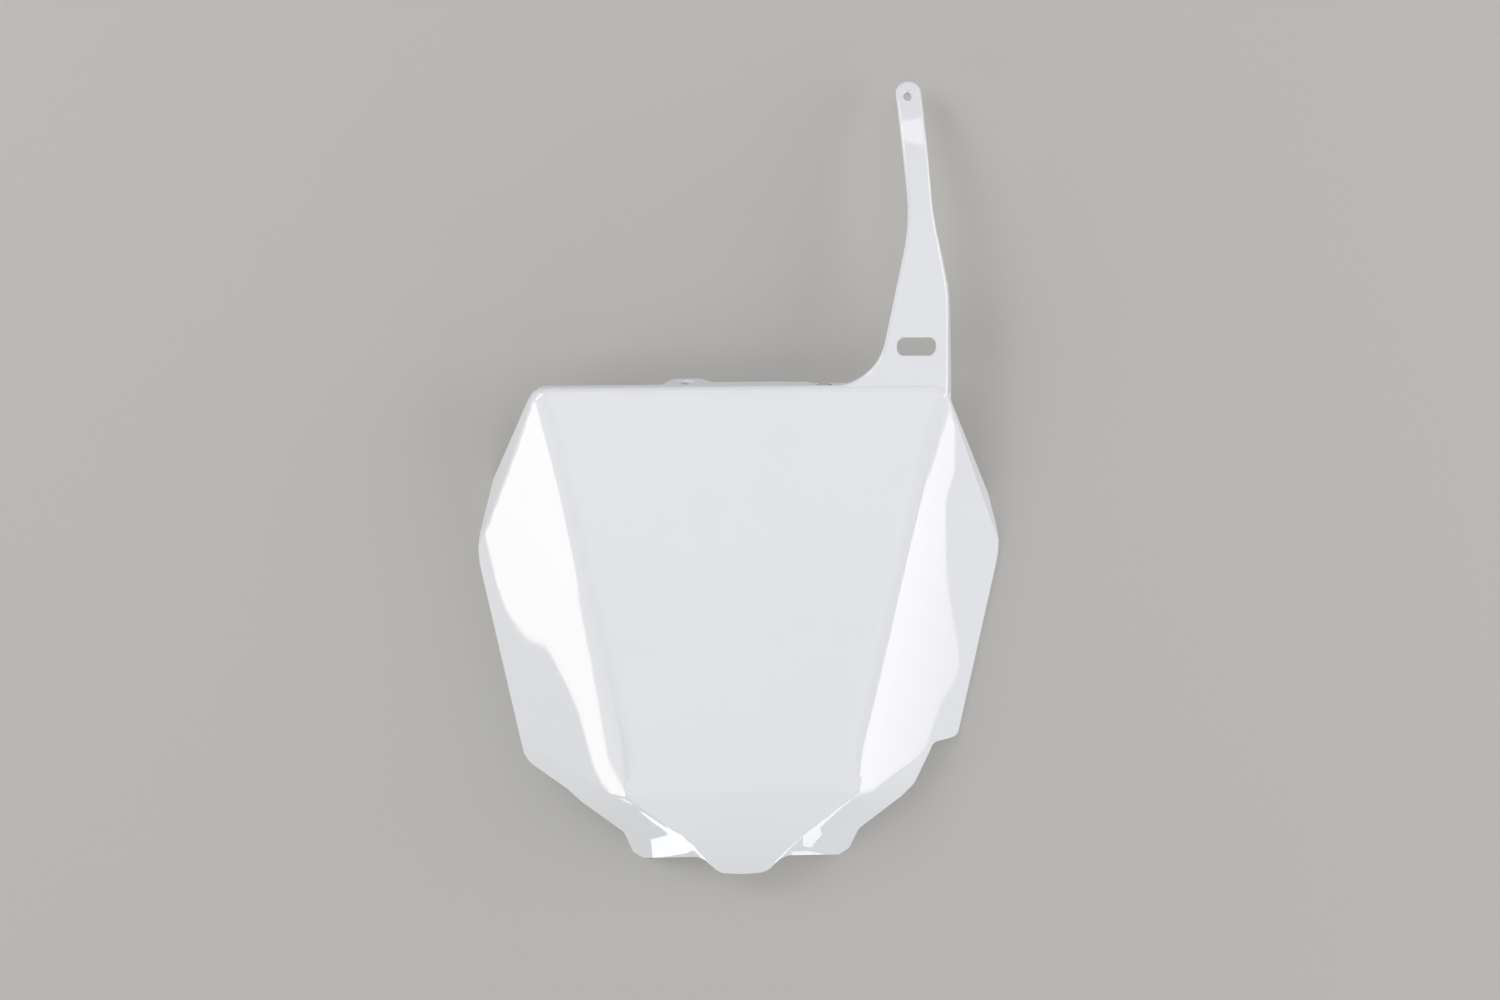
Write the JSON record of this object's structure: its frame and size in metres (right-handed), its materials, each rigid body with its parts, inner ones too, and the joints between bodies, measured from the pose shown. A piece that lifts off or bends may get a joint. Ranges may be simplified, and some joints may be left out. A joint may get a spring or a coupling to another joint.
{
  "type": "motorcycle front number board",
  "caption": "White moulded racing number board: flat number face, bowed side wings, rolled lower end with feet and tongue, bolt tab and a long bent mounting strap.",
  "frame": {"origin": "middle of the bounding box in plan, on the plane that the rim rests on", "axes": "+X towards the side with the strap and notch, +Y up the board towards the strap's end, +Z out of the number face"},
  "size_m": [0.2424, 0.369, 0.032],
  "materials": {
    "white_plastic": "glossy injection-moulded white"
  },
  "bodies": {
    "root": {"number_board": "white_plastic"}
  },
  "joints": []
}
